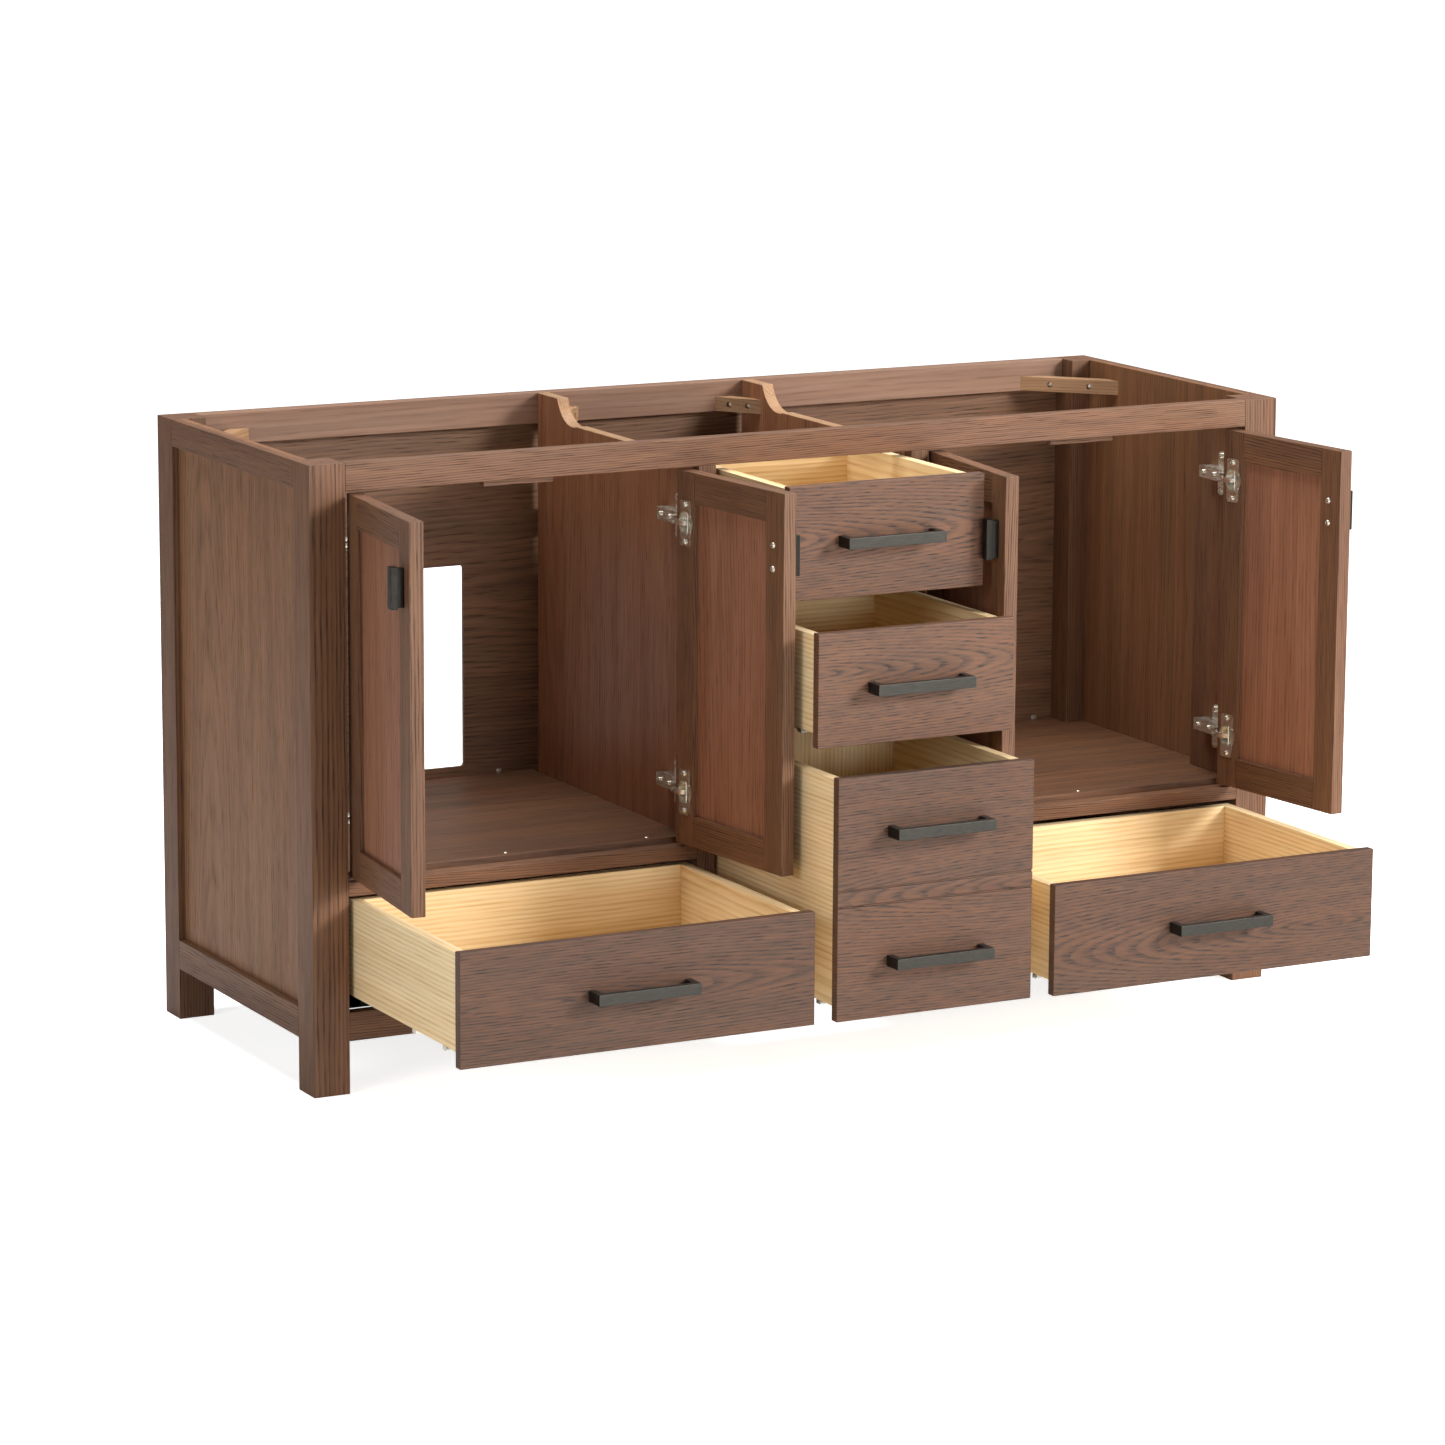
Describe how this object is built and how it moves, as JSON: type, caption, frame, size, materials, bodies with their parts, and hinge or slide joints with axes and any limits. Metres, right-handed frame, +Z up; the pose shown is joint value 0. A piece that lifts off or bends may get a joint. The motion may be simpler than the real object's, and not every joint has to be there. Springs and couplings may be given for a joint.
{
  "type": "bathroom vanity cabinet",
  "caption": "Freestanding double-sink bathroom vanity cabinet in stained oak, with framed doors standing open, drawers pulled out on undermount runners, and dark bar pulls.",
  "frame": {"origin": "on the floor, under the middle of the outline of the cabinet as it stands open", "axes": "+X to the cabinet's right seen from the front, +Y to the back, +Z up"},
  "size_m": [1.524, 0.9208, 0.8636],
  "materials": {
    "oak": "brown-stained open-grain oak, satin",
    "pine": "clear-coated pine",
    "gunmetal": "dark gunmetal, brushed",
    "nickel": "nickel plated",
    "runner_steel": "black coated steel",
    "screw_steel": "zinc plated"
  },
  "bodies": {
    "cabinet": {"front_posts": "oak", "back_posts": "oak", "side_rails": "oak", "side_panels": "oak", "front_top_rail": "oak", "front_apron": "oak", "centre_stiles": "oak", "face_frame_rails": "oak", "partitions": "oak", "bay_floors": "oak", "back_rails": "oak", "back_panel": "oak", "hinge_cleats": "oak", "runner_cleats": "oak", "braces": "oak", "brace_screws": "screw_steel", "door_stops": "oak", "runner_channels": "runner_steel", "hinge_arms": "nickel"},
    "left_outer_door": {"left_outer_door_frame": "oak", "left_outer_door_panel": "oak", "left_outer_door_hinge_cups": "nickel", "left_outer_door_knob": "gunmetal"},
    "left_inner_door": {"left_inner_door_frame": "oak", "left_inner_door_panel": "oak", "left_inner_door_hinge_cups": "nickel", "left_inner_door_knob": "gunmetal"},
    "right_inner_door": {"right_inner_door_frame": "oak", "right_inner_door_panel": "oak", "right_inner_door_hinge_cups": "nickel", "right_inner_door_knob": "gunmetal"},
    "right_outer_door": {"right_outer_door_frame": "oak", "right_outer_door_panel": "oak", "right_outer_door_hinge_cups": "nickel", "right_outer_door_knob": "gunmetal"},
    "top_drawer": {"top_drawer_front": "oak", "top_drawer_box": "pine", "top_drawer_pull": "gunmetal", "top_drawer_runners": "runner_steel"},
    "middle_drawer": {"middle_drawer_front": "oak", "middle_drawer_box": "pine", "middle_drawer_pull": "gunmetal", "middle_drawer_runners": "runner_steel"},
    "deep_drawer": {"deep_drawer_front": "oak", "deep_drawer_box": "pine", "deep_drawer_pull": "gunmetal", "deep_drawer_runners": "runner_steel"},
    "left_drawer": {"left_drawer_front": "oak", "left_drawer_box": "pine", "left_drawer_pull": "gunmetal", "left_drawer_runners": "runner_steel"},
    "right_drawer": {"right_drawer_front": "oak", "right_drawer_box": "pine", "right_drawer_pull": "gunmetal", "right_drawer_runners": "runner_steel"},
    "top_drawer_middle_runners": {"top_drawer_middle_runners": "runner_steel"},
    "middle_drawer_middle_runners": {"middle_drawer_middle_runners": "runner_steel"},
    "deep_drawer_middle_runners": {"deep_drawer_middle_runners": "runner_steel"},
    "left_drawer_middle_runners": {"left_drawer_middle_runners": "runner_steel"},
    "right_drawer_middle_runners": {"right_drawer_middle_runners": "runner_steel"}
  },
  "joints": [
    {"name": "left_outer_door_hinge", "type": "hinge", "parent": "cabinet", "child": "left_outer_door", "pos_m": [-0.6978, -0.06875, 0.56], "axis": [0, 0, -1], "range_deg": [-96, 0]},
    {"name": "left_inner_door_hinge", "type": "hinge", "parent": "cabinet", "child": "left_inner_door", "pos_m": [-0.1922, -0.06875, 0.56], "axis": [0, 0, 1], "range_deg": [-96, 0]},
    {"name": "right_inner_door_hinge", "type": "hinge", "parent": "cabinet", "child": "right_inner_door", "pos_m": [0.1922, -0.06875, 0.56], "axis": [0, 0, -1], "range_deg": [-96, 0]},
    {"name": "right_outer_door_hinge", "type": "hinge", "parent": "cabinet", "child": "right_outer_door", "pos_m": [0.6978, -0.06875, 0.56], "axis": [0, 0, 1], "range_deg": [-96, 0]},
    {"name": "top_drawer_slide", "type": "slide", "parent": "cabinet", "child": "top_drawer", "axis": [0, -1, 0], "range_m": [-0.206, 0]},
    {"name": "middle_drawer_slide", "type": "slide", "parent": "cabinet", "child": "middle_drawer", "axis": [0, -1, 0], "range_m": [-0.291, 0.069]},
    {"name": "deep_drawer_slide", "type": "slide", "parent": "cabinet", "child": "deep_drawer", "axis": [0, -1, 0], "range_m": [-0.35, 0.01]},
    {"name": "left_drawer_slide", "type": "slide", "parent": "cabinet", "child": "left_drawer", "axis": [0, -1, 0], "range_m": [-0.347, 0.013]},
    {"name": "right_drawer_slide", "type": "slide", "parent": "cabinet", "child": "right_drawer", "axis": [0, -1, 0], "range_m": [-0.357, 0.003]},
    {"name": "top_drawer_middle_runners_slide", "type": "slide", "parent": "cabinet", "child": "top_drawer_middle_runners", "axis": [0, -1, 0], "range_m": [-0.1032, 0.0002]},
    {"name": "middle_drawer_middle_runners_slide", "type": "slide", "parent": "cabinet", "child": "middle_drawer_middle_runners", "axis": [0, -1, 0], "range_m": [-0.1457, 0.0347]},
    {"name": "deep_drawer_middle_runners_slide", "type": "slide", "parent": "cabinet", "child": "deep_drawer_middle_runners", "axis": [0, -1, 0], "range_m": [-0.1752, 0.0052]},
    {"name": "left_drawer_middle_runners_slide", "type": "slide", "parent": "cabinet", "child": "left_drawer_middle_runners", "axis": [0, -1, 0], "range_m": [-0.1737, 0.0067]},
    {"name": "right_drawer_middle_runners_slide", "type": "slide", "parent": "cabinet", "child": "right_drawer_middle_runners", "axis": [0, -1, 0], "range_m": [-0.1787, 0.0017]}
  ],
  "couplings": [
    {"joint": "top_drawer_middle_runners_slide", "follows": "top_drawer_slide", "ratio": 0.5},
    {"joint": "middle_drawer_middle_runners_slide", "follows": "middle_drawer_slide", "ratio": 0.5},
    {"joint": "deep_drawer_middle_runners_slide", "follows": "deep_drawer_slide", "ratio": 0.5},
    {"joint": "left_drawer_middle_runners_slide", "follows": "left_drawer_slide", "ratio": 0.5},
    {"joint": "right_drawer_middle_runners_slide", "follows": "right_drawer_slide", "ratio": 0.5}
  ]
}
